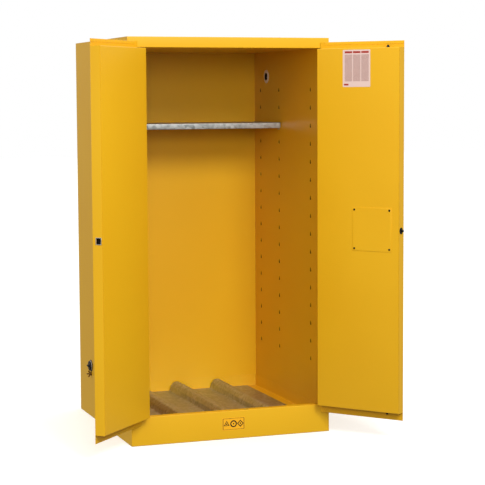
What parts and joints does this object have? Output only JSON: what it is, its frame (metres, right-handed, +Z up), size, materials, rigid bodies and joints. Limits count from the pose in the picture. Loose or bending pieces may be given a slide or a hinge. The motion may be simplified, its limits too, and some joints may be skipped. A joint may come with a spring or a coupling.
{
  "type": "flammable storage cabinet",
  "caption": "Double-walled steel safety cabinet for an upright drum, with two hinged doors, three-point latch, shelf, ridged drum support, sump and capped vents.",
  "frame": {"origin": "centre of the cabinet's footprint on the floor, on the underside of the outer bottom sheet", "axes": "+Z up, +X to the right of a person facing the doors, +Y from the doors towards the back; the rest pose has both doors open"},
  "size_m": [1.2895, 1.1905, 1.651],
  "materials": {
    "yellow_powder_coat": "semi-gloss powder coat",
    "galvanised_steel": "spangled zinc",
    "zinc_plated_steel": "zinc plate",
    "blackened_steel": "black oxide",
    "bright_steel": "satin",
    "steel_mesh": "woven wire",
    "black_moulding": "satin moulded",
    "brass": "turned",
    "chrome": "polished",
    "printed_label": "printed film",
    "sill_sticker": "printed film"
  },
  "bodies": {
    "cabinet": {"drum_support": "galvanised_steel", "earth_stud": "brass", "flame_screens": "steel_mesh", "foot_brackets": "zinc_plated_steel", "foot_nuts": "zinc_plated_steel", "header": "yellow_powder_coat", "hinge_frame_leaf_left": "yellow_powder_coat", "hinge_frame_leaf_right": "yellow_powder_coat", "hinge_pin_left": "zinc_plated_steel", "hinge_pin_right": "zinc_plated_steel", "inner_back": "yellow_powder_coat", "inner_side_left": "yellow_powder_coat", "inner_side_right": "yellow_powder_coat", "inner_top": "yellow_powder_coat", "outer_back": "yellow_powder_coat", "outer_bottom": "yellow_powder_coat", "outer_side_left": "yellow_powder_coat", "outer_side_right": "yellow_powder_coat", "outer_top": "yellow_powder_coat", "shelf": "galvanised_steel", "shelf_clips": "zinc_plated_steel", "sill": "yellow_powder_coat", "sill_label": "sill_sticker", "strike_plates": "zinc_plated_steel", "sump_pan": "yellow_powder_coat", "vent_collar_high": "zinc_plated_steel", "vent_collar_low": "zinc_plated_steel", "vent_nuts": "black_moulding"},
    "left_door": {"door_skin_left": "yellow_powder_coat", "door_pan_left": "yellow_powder_coat", "hinge_door_leaf_left": "yellow_powder_coat", "strike_frame_left": "bright_steel"},
    "right_door": {"door_skin_right": "yellow_powder_coat", "door_pan_right": "yellow_powder_coat", "hinge_door_leaf_right": "yellow_powder_coat", "latch_chassis": "zinc_plated_steel", "latch_spacers": "zinc_plated_steel", "rod_guides": "zinc_plated_steel", "bullet_bushes": "black_moulding", "latch_spring_upper": "zinc_plated_steel", "latch_spring_lower": "zinc_plated_steel", "handle_housing": "black_moulding", "paddle_pin": "zinc_plated_steel", "lock_barrel": "chrome", "access_panel": "yellow_powder_coat", "access_screws": "blackened_steel", "door_label": "printed_label"},
    "paddle": {"handle_paddle": "black_moulding"},
    "hub": {"latch_hub": "zinc_plated_steel"},
    "upper_rod": {"latch_rod_upper": "blackened_steel"},
    "lower_rod": {"latch_rod_lower": "blackened_steel"},
    "bar": {"latch_bar": "blackened_steel"},
    "lock": {"lock_plug": "chrome"},
    "cap_low": {"vent_cap_low": "black_moulding"},
    "cap_high": {"vent_cap_high": "black_moulding"},
    "wing_nut": {"earth_wing_nut": "brass"},
    "foot_front_left": {"foot_front_left": "zinc_plated_steel"},
    "foot_front_right": {"foot_front_right": "zinc_plated_steel"},
    "foot_back_left": {"foot_back_left": "zinc_plated_steel"},
    "foot_back_right": {"foot_back_right": "zinc_plated_steel"}
  },
  "joints": [
    {"name": "left_door_swing", "type": "hinge", "parent": "cabinet", "child": "left_door", "pos_m": [-0.39, -0.433, 0.86], "axis": [0, 0, 1], "range_deg": [-41.5, 133.5]},
    {"name": "right_door_swing", "type": "hinge", "parent": "cabinet", "child": "right_door", "pos_m": [0.39, -0.433, 0.86], "axis": [0, 0, 1], "range_deg": [-129, 46]},
    {"name": "paddle_pull", "type": "hinge", "parent": "right_door", "child": "paddle", "pos_m": [0.56784, -0.66215, 0.868], "axis": [0, 0, -1], "range_deg": [0, 30], "stiffness_Nm_per_rad": 1, "springref_deg": -17.19},
    {"name": "hub_turn", "type": "hinge", "parent": "right_door", "child": "hub", "pos_m": [0.57214, -0.70242, 0.884], "axis": [0.7771, 0.6293, 0], "range_deg": [0, 60]},
    {"name": "upper_rod_draw", "type": "slide", "parent": "right_door", "child": "upper_rod", "axis": [0, 0, -1], "range_m": [0, 0.01295], "deforming": ["latch_spring_upper"]},
    {"name": "lower_rod_draw", "type": "slide", "parent": "right_door", "child": "lower_rod", "axis": [0, 0, 1], "range_m": [0, 0.01295], "deforming": ["latch_spring_lower"]},
    {"name": "bar_draw", "type": "slide", "parent": "right_door", "child": "bar", "axis": [-0.6293, 0.7771, 0], "range_m": [0, 0.01295]},
    {"name": "lock_turn", "type": "hinge", "parent": "right_door", "child": "lock", "pos_m": [0.54237, -0.63387, 0.939], "axis": [0.7771, 0.6293, 0], "range_deg": [0, 90]},
    {"name": "cap_low_turn", "type": "hinge", "parent": "cabinet", "child": "cap_low", "pos_m": [-0.435, 0.228, 0.229], "axis": [-1, 0, 0], "range_deg": [0, 720]},
    {"name": "cap_high_turn", "type": "hinge", "parent": "cabinet", "child": "cap_high", "pos_m": [0.435, 0.205, 1.5], "axis": [1, 0, 0], "range_deg": [0, 720]},
    {"name": "wing_nut_turn", "type": "hinge", "parent": "cabinet", "child": "wing_nut", "pos_m": [-0.44, 0.228, 0.193], "axis": [-1, 0, 0], "range_deg": [0, 720]},
    {"name": "foot_front_left_screw", "type": "slide", "parent": "cabinet", "child": "foot_front_left", "axis": [0, 0, 1], "range_m": [-0.018, 0]},
    {"name": "foot_front_right_screw", "type": "slide", "parent": "cabinet", "child": "foot_front_right", "axis": [0, 0, 1], "range_m": [-0.018, 0]},
    {"name": "foot_back_left_screw", "type": "slide", "parent": "cabinet", "child": "foot_back_left", "axis": [0, 0, 1], "range_m": [-0.018, 0]},
    {"name": "foot_back_right_screw", "type": "slide", "parent": "cabinet", "child": "foot_back_right", "axis": [0, 0, 1], "range_m": [-0.018, 0]}
  ],
  "couplings": [
    {"joint": "hub_turn", "follows": "paddle_pull", "ratio": 2},
    {"joint": "upper_rod_draw", "follows": "paddle_pull", "m_per_rad": 0.024713},
    {"joint": "lower_rod_draw", "follows": "paddle_pull", "m_per_rad": 0.024713},
    {"joint": "bar_draw", "follows": "paddle_pull", "m_per_rad": 0.024713}
  ]
}
